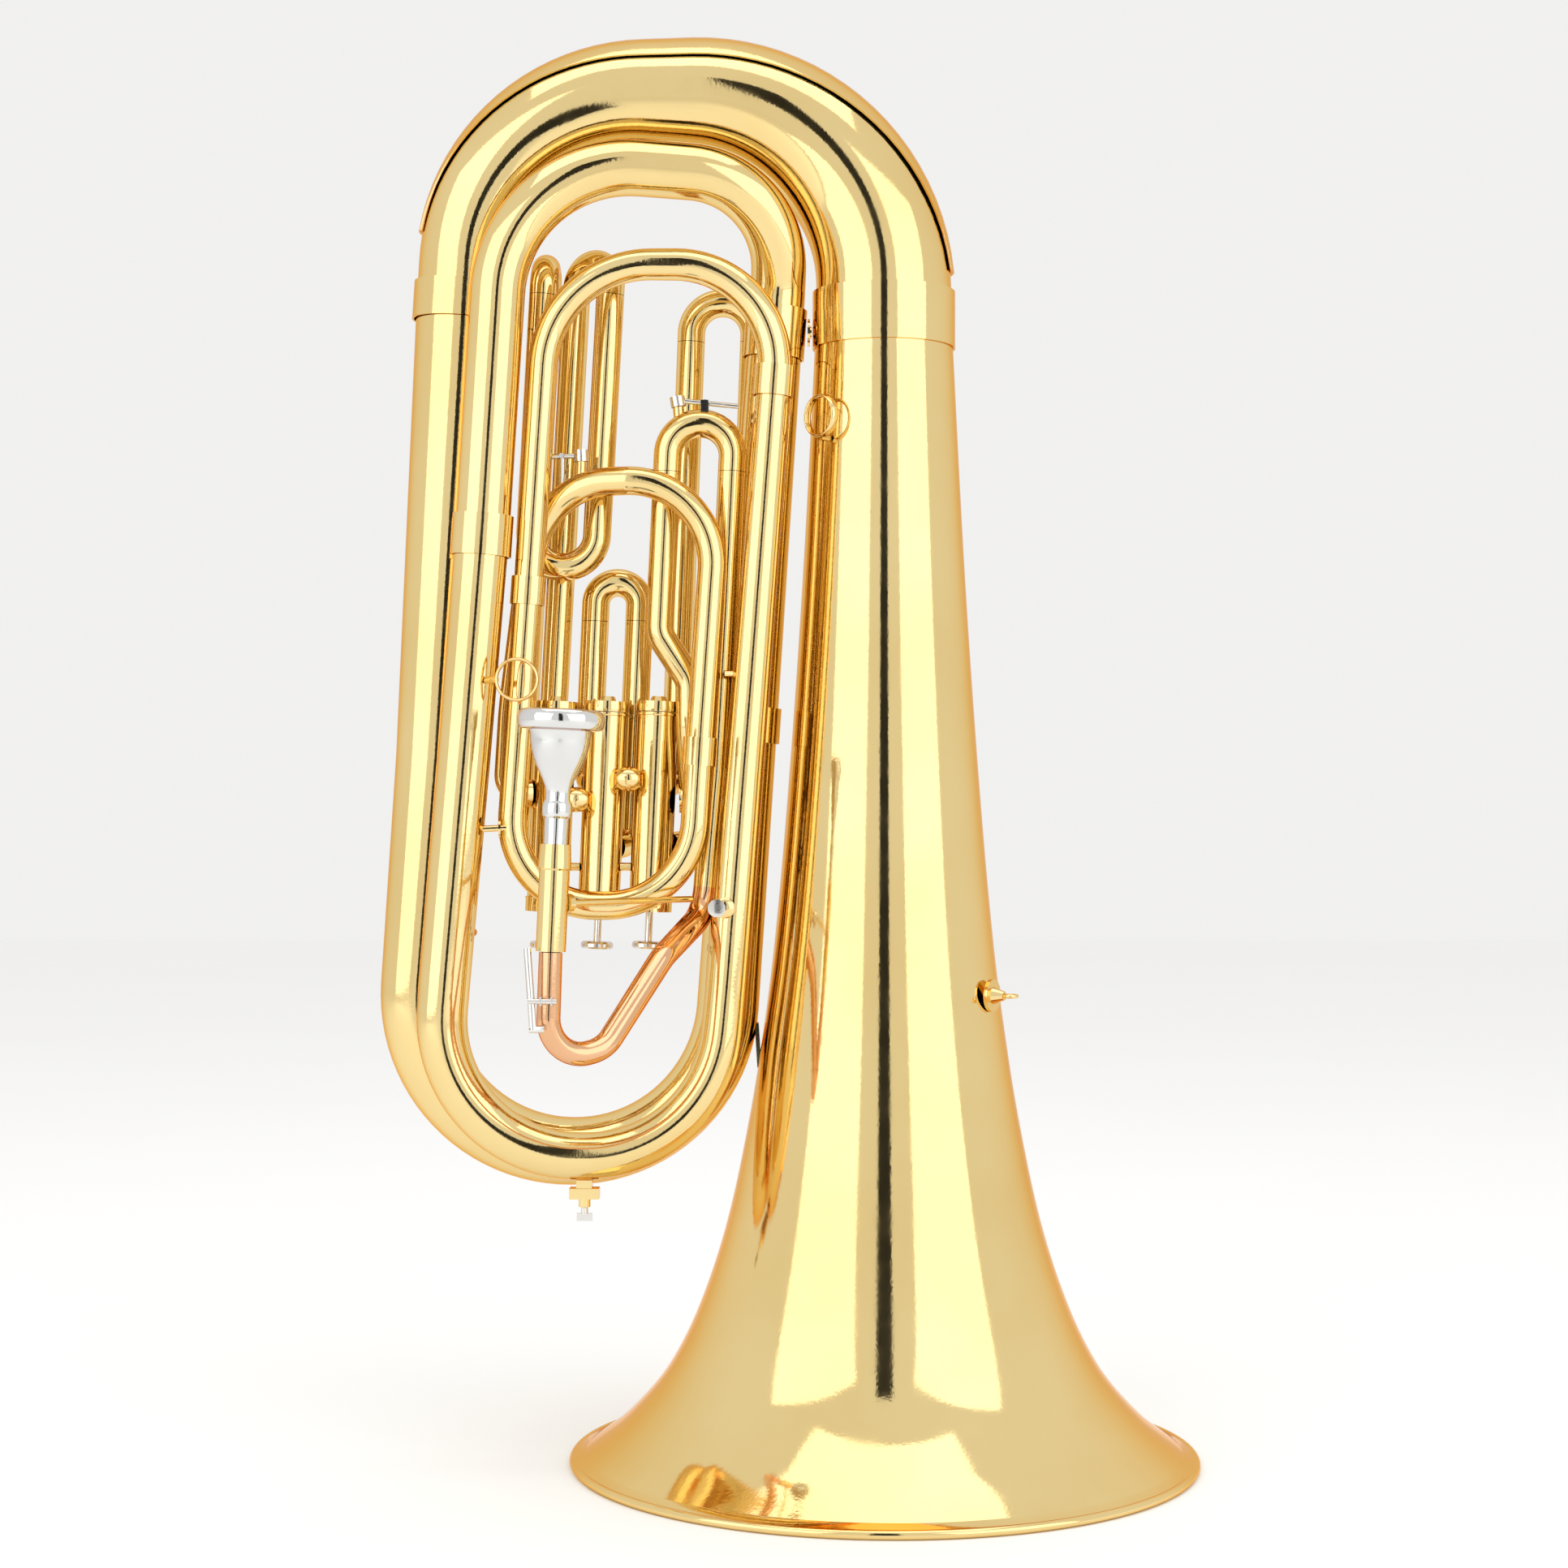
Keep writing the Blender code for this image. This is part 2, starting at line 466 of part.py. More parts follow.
fuse("strap_ring", [rod(S0, S0 + strap * 2.2, 9.3, 12), rod(S0 + strap * 1.8, S0 + strap * 9.0, 5.0, 10, 2.6),
                    hoop(S0 + strap * 12.6, (0, 0, 1), 3.6, (1.2, 1.2), 12)])
fuse("accessory_socket", [block((-172.9, -38, 166.6), (9.0, 9.0, 5.0)), block((-172.9, -38, 161.4), (17.0, 11.0, 6.0)),
                          rod((-172.9, -38, 159), (-172.9, -38, 153.6), 3.4, 10)])
fuse("accessory_screw", [rod((-172.9, -38, 153.2), (-172.9, -38, 149.6), 2.0), block((-172.9, -38, 147.6), (9.0, 1.8, 4.4))], SILVER,
     pivot=(-172.9, -38, 149.0))
fuse("leadpipe_clamp", [block((-92.4, -49.3, 325.0), (12.0, 2.6, 18.0))])
lathe("leadpipe_clamp_screw", (-96.8, -51.0, 325.2), (0, -1, 0), [(0, 0), (2.0, 0), (2.0, 2.0), (5.0, 2.6), (5.0, 7.0), (0, 7.6)], SILVER,
      pivot=(-96.8, -51.0, 325.2))
fuse("bell_brace_upper", [rod((-44.8, 0, 661.4), (-43.4, 0, 661.4), 8.0, 10), rod((-43.8, 0, 661.4), (-42.4, 0, 661.4), 3.6)])
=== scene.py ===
"""Close view of the convertible tuba: every tube, ferrule, slide and valve turned and bent finely, in lacquered brass.

Millimetres in the tables, metres in the scene. The bell axis is the vertical line through
(BELL_X, 0); the tubing wraps to its left in a rear plane (y = 0) and a front plane (y about -40),
and every leg leans a few degrees, its lower end to the left.
"""
import json
import math
import bmesh
import bpy
from mathutils import Matrix, Vector


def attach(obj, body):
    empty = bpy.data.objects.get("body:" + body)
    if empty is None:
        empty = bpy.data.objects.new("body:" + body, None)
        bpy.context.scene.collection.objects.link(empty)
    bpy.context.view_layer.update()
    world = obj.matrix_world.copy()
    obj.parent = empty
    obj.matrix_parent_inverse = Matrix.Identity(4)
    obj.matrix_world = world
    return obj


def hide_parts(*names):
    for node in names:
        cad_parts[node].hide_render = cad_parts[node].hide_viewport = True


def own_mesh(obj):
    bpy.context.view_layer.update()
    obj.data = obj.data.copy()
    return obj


# ---------------------------------------------------------------- driving dimensions (mm)
BELL_X = 55.4              # bell axis from the middle of the outline
BELL_RIM_R = 184.0         # 14.5 inch bell
BELL_WALL = 1.0
BEAD_R = 2.6               # wired rim
BELL_STATIONS = (          # (height above the rim, outside radius) along the bell
    (2.6, 181.0), (8.0, 173.0), (25.0, 151.5), (56.0, 125.5), (94.0, 107.0), (142.0, 91.5),
    (190.0, 81.0), (230.0, 74.0), (302.0, 64.4), (412.0, 54.8), (532.0, 46.8), (660.0, 40.2))
CYL_R = 8.2                # cylindrical tubing, outside
WALL = 0.8
SLEEVE = 1.2               # thickness of a ferrule
GAP = 0.3                  # between touching pieces
SLIDE_INNER_R = 6.9       # inner legs of the slides
SLIDE_BORE_R = 7.6        # outer legs they run in
VALVE_PITCH = 29.8
VALVE_2_X, VALVE_Y = -163.8, -10.0   # middle valve at height VALVE_Z
VALVE_Z = 392.0
VALVE_LEAN = 0.0441        # x per z
CASING_R, CASING_BORE = 12.2, 11.2
CASING_BOTTOM, CASING_TOP = 322.0, 438.0
PISTON_R = 10.9
PISTON_BOTTOM, PISTON_TOP = 342.0, 408.0
VALVE_STROKE = 15.0
BUTTON_R, BUTTON_T = 9.3, 4.0
BUTTON_Z = 300.3
SIDES = 40

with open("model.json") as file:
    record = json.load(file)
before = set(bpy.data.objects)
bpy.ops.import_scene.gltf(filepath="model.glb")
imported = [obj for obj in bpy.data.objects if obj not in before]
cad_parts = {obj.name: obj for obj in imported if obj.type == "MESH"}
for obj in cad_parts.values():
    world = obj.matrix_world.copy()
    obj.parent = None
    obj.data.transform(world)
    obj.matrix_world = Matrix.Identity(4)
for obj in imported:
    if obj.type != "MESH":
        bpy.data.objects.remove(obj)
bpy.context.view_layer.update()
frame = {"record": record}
BODY_OF = {n: b for b, nodes in frame["record"]["behaviour"]["bodies"].items() for n in nodes}
SLOT_OF = {p["node"]: p["material_slot"] for p in frame["record"]["subparts"]}

BRASS = "lacquered_brass"
ROSE = "rose_brass"
SILVER = "silver_plate"


def plated(name, light, dark, rough, bump, coat, scale):
    """Polished metal with a faint drift of tone, wiping marks and handling haze."""
    m = bpy.data.materials.new(name)
    m.use_nodes = True
    nt = m.node_tree
    p = nt.nodes["Principled BSDF"]
    p.inputs["Metallic"].default_value = 1.0
    p.inputs["Coat Weight"].default_value = coat
    p.inputs["Specular Tint"].default_value = (*[min(1.0, c * k) for c, k in zip(dark, (1.1, 0.85, 0.8))], 1)
    p.inputs["Coat Roughness"].default_value = 0.03
    p.inputs["Coat IOR"].default_value = 1.5
    tc = nt.nodes.new("ShaderNodeTexCoord")
    drift = nt.nodes.new("ShaderNodeTexNoise")
    drift.inputs["Scale"].default_value = scale
    drift.inputs["Detail"].default_value = 5.0
    haze = nt.nodes.new("ShaderNodeTexNoise")
    haze.inputs["Scale"].default_value = scale * 7
    haze.inputs["Detail"].default_value = 8.0
    wipe = nt.nodes.new("ShaderNodeTexNoise")
    wipe.inputs["Scale"].default_value = scale * 60
    wipe.inputs["Detail"].default_value = 3.0
    for n in (drift, haze, wipe):
        nt.links.new(tc.outputs["Object"], n.inputs["Vector"])
    ramp = nt.nodes.new("ShaderNodeValToRGB")
    ramp.color_ramp.elements[0].position, ramp.color_ramp.elements[1].position = 0.3, 0.7
    ramp.color_ramp.elements[0].color = (*dark, 1)
    ramp.color_ramp.elements[1].color = (*light, 1)
    nt.links.new(drift.outputs["Fac"], ramp.inputs["Fac"])
    nt.links.new(ramp.outputs["Color"], p.inputs["Base Color"])
    mr = nt.nodes.new("ShaderNodeMapRange")
    mr.inputs["From Min"].default_value, mr.inputs["From Max"].default_value = 0.35, 0.75
    mr.inputs["To Min"].default_value, mr.inputs["To Max"].default_value = rough * 0.7, rough * 1.6
    nt.links.new(haze.outputs["Fac"], mr.inputs["Value"])
    nt.links.new(mr.outputs["Result"], p.inputs["Roughness"])
    bp = nt.nodes.new("ShaderNodeBump")
    bp.inputs["Strength"].default_value = bump
    bp.inputs["Distance"].default_value = 0.0004
    nt.links.new(wipe.outputs["Fac"], bp.inputs["Height"])
    nt.links.new(bp.outputs["Normal"], p.inputs["Normal"])
    return m


FINISHES = {
    "lacquered_brass": plated("lacquered_brass_look", (0.88, 0.69, 0.33), (0.83, 0.62, 0.26), 0.07, 0.05, 0.2, 9.0),
    "rose_brass": plated("rose_brass_look", (0.84, 0.50, 0.29), (0.76, 0.42, 0.22), 0.09, 0.05, 0.2, 11.0),
    "silver_plate": plated("silver_plate_look", (0.80, 0.80, 0.785), (0.70, 0.70, 0.69), 0.06, 0.04, 0.0, 14.0),
    "nickel_silver": plated("nickel_silver_look", (0.82, 0.81, 0.77), (0.72, 0.70, 0.66), 0.16, 0.07, 0.0, 20.0),
    "spring_steel": plated("spring_steel_look", (0.62, 0.62, 0.62), (0.5, 0.5, 0.5), 0.3, 0.1, 0.0, 30.0),
}


def finish(name, bm, colour=BRASS, pivot=None, metal=1.0):
    """One closed body into one named object; its origin sits on pivot, in mm."""
    bmesh.ops.remove_doubles(bm, verts=bm.verts, dist=1e-7)
    bmesh.ops.recalc_face_normals(bm, faces=bm.faces)
    if bm.calc_volume(signed=True) < 0:
        bmesh.ops.reverse_faces(bm, faces=bm.faces)
    p = Vector(pivot or (0, 0, 0)) * 0.001
    bmesh.ops.translate(bm, verts=bm.verts, vec=-p)
    me = bpy.data.meshes.new(name + "_fine")
    bm.to_mesh(me)
    bm.free()
    me.shade_smooth()
    me.set_sharp_from_angle(angle=math.radians(35))
    ob = bpy.data.objects.new(name + "_fine", me)
    ob.location = p + Vector((BELL_X / 1000, 0, 0))
    bpy.context.scene.collection.objects.link(ob)
    bpy.context.view_layer.update()
    if name in SLOT_OF:
        me.materials.append(FINISHES[SLOT_OF[name]])
        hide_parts(name)
        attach(ob, BODY_OF[name])
        if name == "leadpipe":      # rose brass only below the joint in front of the valves
            me.materials.append(FINISHES[BRASS])
            for poly in me.polygons:
                if poly.center.z > 0.345:
                    poly.material_index = 1
    else:
        me.materials.append(FINISHES[colour])
        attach(ob, "main_tuning_slide_body" if name.startswith("main_key") else "tuba_body")
    return ob


def rounded(corners, step=math.radians(4)):
    """Centre line through corners (x, y, z, fillet radius): straight runs joined by arcs."""
    pts = [Vector(c[:3]) for c in corners]
    runs = [(b - a).length for a, b in zip(pts, pts[1:])]
    turns = [0.0] + [math.pi - (a - b).angle(c - b) for a, b, c in zip(pts, pts[1:], pts[2:])] + [0.0]
    want = [c[3] * math.tan(w / 2) for c, w in zip(corners, turns)]
    out = [pts[0]]
    for i in range(1, len(pts) - 1):
        a, b, c = pts[i - 1], pts[i], pts[i + 1]
        u, v = (a - b).normalized(), (c - b).normalized()
        turn = turns[i]
        if turn < 0.02:
            out.append(b)
            continue
        t = want[i] * min(1.0, 0.995 * runs[i - 1] / max(want[i - 1] + want[i], 1e-6),
                          0.995 * runs[i] / max(want[i] + want[i + 1], 1e-6))
        r = t / math.tan(turn / 2)
        centre = b + (u + v).normalized() * (r / math.cos(turn / 2))
        p0, n = b + u * t, max(1, round(turn / step))
        axis = (-u).cross(v).normalized()
        for k in range(n + 1):
            out.append(centre + Matrix.Rotation(turn * k / n, 3, axis) @ (p0 - centre))
    out.append(pts[-1])
    keep = [out[0]]
    for p in out[1:]:
        if (p - keep[-1]).length > 0.05:
            keep.append(p)
    return keep


def ring_frames(pts):
    """A cross-section frame at each point, carried along without twist."""
    tans = []
    for i, p in enumerate(pts):
        a, b = pts[max(i - 1, 0)], pts[min(i + 1, len(pts) - 1)]
        d = (b - a).normalized()
        if 0 < i < len(pts) - 1:
            d = ((p - pts[i - 1]).normalized() + (pts[i + 1] - p).normalized()).normalized()
        tans.append(d)
    n = tans[0].orthogonal().normalized()
    frames = []
    for i, t in enumerate(tans):
        if i:
            n = tans[i - 1].rotation_difference(t) @ n
        n = (n - t * n.dot(t)).normalized()
        frames.append((n, t.cross(n)))
    return frames


def law(stations, f):
    for (f0, r0), (f1, r1) in zip(stations, stations[1:]):
        if f <= f1:
            return r0 + (r1 - r0) * (f - f0) / max(f1 - f0, 1e-9)
    return stations[-1][1]


def sweep(bm, pts, outer, inner, sides=SIDES):
    """Hollow tube along pts; outer and inner give the radii at each point."""
    frames = ring_frames(pts)
    rings = []
    for radii in (outer, inner):
        loop = []
        for p, (n, b), r in zip(pts, frames, radii):
            loop.append([bm.verts.new((p + (n * math.cos(a) + b * math.sin(a)) * r) * 0.001)
                         for a in (2 * math.pi * k / sides for k in range(sides))])
        rings.append(loop)
    for loop, flip in zip(rings, (False, True)):
        for r0, r1 in zip(loop, loop[1:]):
            for k in range(sides):
                q = [r0[k], r0[(k + 1) % sides], r1[(k + 1) % sides], r1[k]]
                bm.faces.new(q[::-1] if flip else q)
    for i, flip in ((0, True), (-1, False)):
        o, n = rings[0][i], rings[1][i]
        for k in range(sides):
            q = [o[k], o[(k + 1) % sides], n[(k + 1) % sides], n[k]]
            bm.faces.new(q[::-1] if flip else q)


def tube(name, corners, radii, wall=WALL, colour=BRASS, sides=SIDES, step=math.radians(4)):
    pts = rounded(corners, step)
    total = sum((b - a).length for a, b in zip(pts, pts[1:]))
    run, outer = 0.0, []
    for i, p in enumerate(pts):
        if i:
            run += (p - pts[i - 1]).length
        outer.append(law(radii, run / total))
    bm = bmesh.new()
    sweep(bm, pts, outer, [r - wall for r in outer], sides)
    return finish(name, bm, colour)


def sleeve(name, lower, upper, tube_r, length_axis=None, sides=48):
    """Ferrule: a short collar round the joint of two tubes."""
    a, b = Vector(lower), Vector(upper)
    bm = bmesh.new()
    scale = 1 / math.cos(math.pi / sides)
    sweep(bm, [a, b], [tube_r + GAP + SLEEVE] * 2, [(tube_r + GAP) * scale] * 2, sides)
    return finish(name, bm)


def turned(bm, base, axis, profile, sides=SIDES):
    """Closed profile of (radius, height) pairs turned about axis; radius 0 closes on the axis."""
    base, t = Vector(base), Vector(axis).normalized()
    n = t.orthogonal().normalized()
    b = t.cross(n)
    rows = []
    for r, h in profile:
        if r < 1e-6:
            rows.append([bm.verts.new((base + t * h) * 0.001)])
        else:
            rows.append([bm.verts.new((base + t * h + (n * math.cos(a) + b * math.sin(a)) * r) * 0.001)
                         for a in (2 * math.pi * k / sides for k in range(sides))])
    closed = profile[0][0] > 1e-6
    pairs = list(zip(rows, rows[1:])) + ([(rows[-1], rows[0])] if closed else [])
    for r0, r1 in pairs:
        for k in range(sides):
            k2 = (k + 1) % sides
            if len(r0) == 1:
                bm.faces.new([r0[0], r1[k2], r1[k]])
            elif len(r1) == 1:
                bm.faces.new([r0[k], r0[k2], r1[0]])
            else:
                bm.faces.new([r0[k], r0[k2], r1[k2], r1[k]])


def lathe(name, base, axis, profile, colour=BRASS, sides=SIDES, pivot=None, metal=1.0):
    bm = bmesh.new()
    turned(bm, base, axis, profile, sides)
    return finish(name, bm, colour, pivot, metal)


def rod(a, b, r, sides=24, r2=None):
    a, b = Vector(a), Vector(b)
    bm = bmesh.new()
    turned(bm, a, b - a, [(0, 0), (r, 0), (r if r2 is None else r2, (b - a).length), (0, (b - a).length)], sides)
    return bm


def block(centre, size, axis_x=(1, 0, 0)):
    bm = bmesh.new()
    bmesh.ops.create_cube(bm, size=1.0)
    x = Vector(axis_x).normalized()
    z = Vector((0, 0, 1))
    y = z.cross(x).normalized()
    z = x.cross(y)
    rot = Matrix((x, y, z)).transposed()
    for v in bm.verts:
        p = Vector((v.co.x * size[0], v.co.y * size[1], v.co.z * size[2]))
        v.co = (Vector(centre) + rot @ p) * 0.001
    return bm


def hoop(centre, normal, radius, wire, sides=64, section=16):
    c, t = Vector(centre), Vector(normal).normalized()
    n = t.orthogonal().normalized()
    b = t.cross(n)
    bm = bmesh.new()
    rows = []
    for k in range(sides):
        a = 2 * math.pi * k / sides
        d = n * math.cos(a) + b * math.sin(a)
        rows.append([bm.verts.new((c + d * (radius + wire[0] * math.cos(s)) + t * wire[1] * math.sin(s)) * 0.001)
                     for s in (2 * math.pi * j / section for j in range(section))])
    for k in range(sides):
        r0, r1 = rows[k], rows[(k + 1) % sides]
        for j in range(section):
            bm.faces.new([r0[j], r1[j], r1[(j + 1) % section], r0[(j + 1) % section]])
    return bm


def fuse(name, bodies, colour=BRASS, pivot=None):
    """Soldered or screwed-up group: overlapping bodies joined by exact unions into one."""
    obs = []
    for i, bm in enumerate(bodies):
        bmesh.ops.recalc_face_normals(bm, faces=bm.faces)
        if bm.calc_volume(signed=True) < 0:
            bmesh.ops.reverse_faces(bm, faces=bm.faces)
        me = bpy.data.meshes.new(f"{name}_{i}")
        bm.to_mesh(me)
        bm.free()
        ob = bpy.data.objects.new(f"{name}_{i}", me)
        bpy.context.scene.collection.objects.link(ob)
        obs.append(ob)
    for other in obs[1:]:
        mod = obs[0].modifiers.new("join", "BOOLEAN")
        mod.operation, mod.solver, mod.object = "UNION", "EXACT", other
    dep = bpy.context.evaluated_depsgraph_get()
    dep.update()
    bm = bmesh.new()
    bm.from_mesh(obs[0].evaluated_get(dep).to_mesh())
    for ob in obs:
        bpy.data.objects.remove(ob, do_unlink=True)
    bmesh.ops.triangulate(bm, faces=bm.faces)
    bmesh.ops.dissolve_degenerate(bm, dist=2e-6, edges=bm.edges)
    return finish(name, bm, colour, pivot)


# ---------------------------------------------------------------- bell


def bell_radius(z):
    """Smooth curve through the stations (monotone cubic in height)."""
    st = ((0.0, 186.0),) + BELL_STATIONS
    d = [(b[1] - a[1]) / (b[0] - a[0]) for a, b in zip(st, st[1:])]
    m = [d[0]] + [2 * p * q / (p + q) for p, q in zip(d, d[1:])] + [d[-1]]
    for i, (p, q) in enumerate(zip(st, st[1:])):
        if z <= q[0] + 1e-9:
            h = q[0] - p[0]
            t = (z - p[0]) / h
            return ((2 * t ** 3 - 3 * t * t + 1) * p[1] + (t ** 3 - 2 * t * t + t) * h * m[i]
                    + (3 * t * t - 2 * t ** 3) * q[1] + (t ** 3 - t * t) * h * m[i + 1])
    return st[-1][1]


heights = [7.0 + 653.0 * (k / 90) ** 1.9 for k in range(91)]
outer = [(bell_radius(z), z) for z in heights]
inner = [(r - BELL_WALL, z) for r, z in reversed(outer)]
bead = [(BELL_RIM_R - BEAD_R + BEAD_R * math.cos(a), BEAD_R + BEAD_R * math.sin(a))
        for a in (math.radians(-150 + 12 * k) for k in range(23))]
lathe("bell", (0, 0, 0), (0, 0, 1), bead + outer + inner, sides=160)
sleeve("bell_ferrule", (0, 0, 651.5), (0, 0, 684.5), 40.4, sides=64)

# ---------------------------------------------------------------- main bugle, from the bell inwards
TOP_BOW = [(0, 0, 660.6, 0), (0, 0, 797.3, 112), (-238.5, 0, 797.3, 104), (-246.4, 0, 672.4, 0)]
tube("top_bow", TOP_BOW,
     [(0, 40.0), (0.08, 39.6), (0.92, 28.2), (1, 28.0)], sides=56, step=math.radians(4))
sleeve("top_bow_ferrule", (-246.8, 0, 667.0), (-245.4, 0, 689.0), 28.5, sides=64)
tube("bottom_bow", [(-246.5, 0, 671.8, 0), (-262.6, 0, 412.0, 400), (-273.0, 0, 285.0, 400), (-281.0, 0, 181.0, 91),
                    (-97.5, 0, 181.0, 91), (-79.6, 0, 435.6, 0)],
     [(0, 27.9), (0.42, 22.0), (0.62, 20.0), (0.8, 18.2), (1, 17.4)], sides=56, step=math.radians(4))
sleeve("bottom_bow_ferrule", (-80.6, 0, 421.0), (-79.2, 0, 441.5), 17.8)
tube("second_branch", [(-79.55, 0, 436.2, 0), (-64.7, 0, 648.0, 0)], [(0, 17.4), (1, 16.2)])
sleeve("second_branch_ferrule", (-64.9, 0, 646.0), (-62.9, 0, 675.0), 16.5)
tube("second_bow", [(-64.65, 0, 648.6, 0), (-62.1, 0, 686.5, 40), (-60.0, -24, 746.0, 56), (-217.5, -43, 753.4, 78), (-231.0, -43, 540.4, 0)],
     [(0, 16.2), (1, 15.6)], step=math.radians(4))
sleeve("second_bow_ferrule", (-232.0, -43, 526.0), (-230.4, -43, 549.5), 15.9)
tube("inner_bow", [(-231.04, -43, 539.8, 0), (-241.4, -43, 411.0, 400), (-252.1, -43, 287.7, 400), (-260.5, -43, 183.0, 78),
                   (-101.0, -40, 183.0, 78), (-92.0, -35, 272.8, 300), (-77.5, -35, 456.5, 0), (-64.5, -35, 627.0, 0)],
     [(0, 15.5), (0.3, 14.6), (0.5, 13.2), (0.65, 12.0), (0.85, 10.8), (1, 10.0)], step=math.radians(4))
sleeve("inner_bow_ferrule", (-65.2, -35, 618.5), (-63.9, -35, 636.0), 10.2)
tube("third_bow", [(-64.46, -35, 627.6, 0), (-59.0, -36, 693.9, 57), (-193.0, -38, 693.9, 62), (-205.3, -38, 506.6, 0)],
     [(0, 9.9), (0.4, 8.9), (1, 8.4)], step=math.radians(4))
sleeve("third_bow_ferrule", (-205.8, -38, 498.5), (-204.7, -38, 514.5), 8.5)
tube("fourth_bow", [(-205.34, -38, 506.0, 0), (-214.1, -38, 380.0, 400), (-217.0, -38, 326.1, 51), (-112.5, -38, 326.1, 51),
                    (-107.2, -38, 414.2, 0)], [(0, CYL_R), (1, CYL_R)], step=math.radians(4))
sleeve("fourth_bow_ferrule", (-107.7, -38, 406.5), (-106.7, -38, 422.5), CYL_R)
tube("fifth_bow", [(-107.16, -38, 414.8, 0), (-96.5, -38, 569.7, 49), (-148.0, -38, 569.7, 2), (-200.0, -20.2, 569.7, 49), (-216.0, -19.6, 440.0, 100),
                   (-219.5, -15.5, 391.0, 10.5), (-206.4, -11.5, 391.0, 0)],
     [(0, CYL_R), (1, CYL_R)], step=math.radians(4))

# guard plate soldered along the outside of the top bow
line = rounded(TOP_BOW, math.radians(4))
length = sum((b - a).length for a, b in zip(line, line[1:]))
bm = bmesh.new()
rows, run = [], 0.0
for i, c in enumerate(line):
    if i:
        run += (c - line[i - 1]).length
    if not 2 <= i <= len(line) - 4:
        continue
    t = (line[i + 1] - c).normalized() + (c - line[i - 1]).normalized()
    d = t.cross(Vector((0, 1, 0))).normalized()
    if d.dot(c - Vector((-120, 0, 670))) < 0:
        d = -d
    r_tube = law([(0, 40.0), (0.08, 39.6), (0.92, 28.2), (1, 28.0)], run / length)
    width = 0.30 + 0.68 * math.sin(math.pi * (i - 1.5) / (len(line) - 5.0))
    seg = [[bm.verts.new((c + (d * math.cos(b) + Vector((0, 1, 0)) * math.sin(b)) * rr) * 0.001)
            for b in (width * (j / 4 - 1) for j in range(9))] for rr in (r_tube + 2.1, r_tube + 1.0)]
    rows.append(seg[0] + seg[1][::-1])
for r0, r1 in zip(rows, rows[1:]):
    for j in range(18):
        bm.faces.new([r0[j], r0[(j + 1) % 18], r1[(j + 1) % 18], r1[j]])
bm.faces.new(rows[0])
bm.faces.new(rows[-1][::-1])
finish("top_bow_guard", bm)

# ---------------------------------------------------------------- valves
VDIR = Vector((VALVE_LEAN, 0, 1)).normalized()


def valve_point(n, z):
    """Point on the axis of valve n at height z; valve 1 is the right-hand one."""
    x = VALVE_2_X + (2 - n) * VALVE_PITCH + (z - VALVE_Z) * VALVE_LEAN
    return Vector((x, VALVE_Y, z))


for n in (1, 2, 3):
    base = valve_point(n, CASING_BOTTOM)
    h = CASING_TOP - CASING_BOTTOM
    lathe(f"valve_casing_{n}", base, VDIR,
          [(3.0, 0), (12.9, 0), (12.9, 7), (CASING_R, 8), (CASING_R, h), (CASING_BORE, h), (CASING_BORE, 4), (3.0, 4)],
          sides=48)
    top = valve_point(n, CASING_TOP + GAP)
    lathe(f"valve_cap_{n}", top, VDIR, [(0, 0), (12.8, 0), (13.0, 1.5), (12.8, 6.0), (5.0, 6.6), (4.0, 9.0), (0, 9.0)], sides=48)
    zb = BUTTON_Z - PISTON_BOTTOM
    lathe(f"piston_{n}", valve_point(n, PISTON_BOTTOM), VDIR,
          [(0, zb), (BUTTON_R - 1, zb), (BUTTON_R, zb + 1), (BUTTON_R, zb + 3), (BUTTON_R - 1, zb + BUTTON_T),
           (2.2, zb + BUTTON_T + 0.2), (2.2, 0), (PISTON_R, 0), (PISTON_R, PISTON_TOP - PISTON_BOTTOM), (0, PISTON_TOP - PISTON_BOTTOM)],
          sides=48, pivot=valve_point(n, PISTON_BOTTOM))
    sp = valve_point(n, PISTON_TOP + GAP)
    sh = CASING_TOP - PISTON_TOP - 2 * GAP
    spring = lathe(f"valve_spring_{n}", sp, VDIR, [(6.2, 0), (8.2, 0), (8.2, sh), (6.2, sh)], SILVER, sides=40)
    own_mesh(spring)

# rounded crossing tubes between neighbouring casings
for name, a, b, z in (("crossover_tube_12", 1, 2, 399.0), ("crossover_tube_23", 2, 3, 387.0)):
    m = (valve_point(a, z) + valve_point(b, z)) / 2 + Vector((0, -13.6, 0))
    lathe(name, m + Vector((7.5, 0, 0)), (-1, 0, 0),
          [(0, 0), (4.6, 0.8), (6.8, 3.8), (7.4, 7.5), (6.8, 11.2), (4.6, 14.2), (0, 15.0)], sides=40)

# ---------------------------------------------------------------- slides


def leg(x, z_ref, lean, y, z):
    return Vector((x + (z - z_ref) * lean, y, z))


def crook(name, left, right, lean, z_leg, z_apex, inner_len, spread=None):
    """U-shaped slide: thick crook, then thinner inner legs that run in the outer tubes."""
    d = Vector((lean, 0, 1)).normalized()
    a, b = Vector(left), Vector(right)
    half = (a - b).length / 2
    up_a, up_b = a + d * (z_apex - z_leg), b + d * (z_apex - z_leg)
    arc = rounded([(*a, 0), (*up_a, half * 0.99), (*up_b, half * 0.99), (*b, 0)], math.radians(5))
    pts = [a - d * inner_len, a - d * 0.2] + arc + [b - d * 0.2, b - d * inner_len]
    radii = [SLIDE_INNER_R, SLIDE_INNER_R] + [CYL_R] * len(arc) + [SLIDE_INNER_R, SLIDE_INNER_R]
    bm = bmesh.new()
    sweep(bm, pts, radii, [SLIDE_INNER_R - 0.6] * len(pts))
    return finish(name, bm, BRASS, pivot=a)


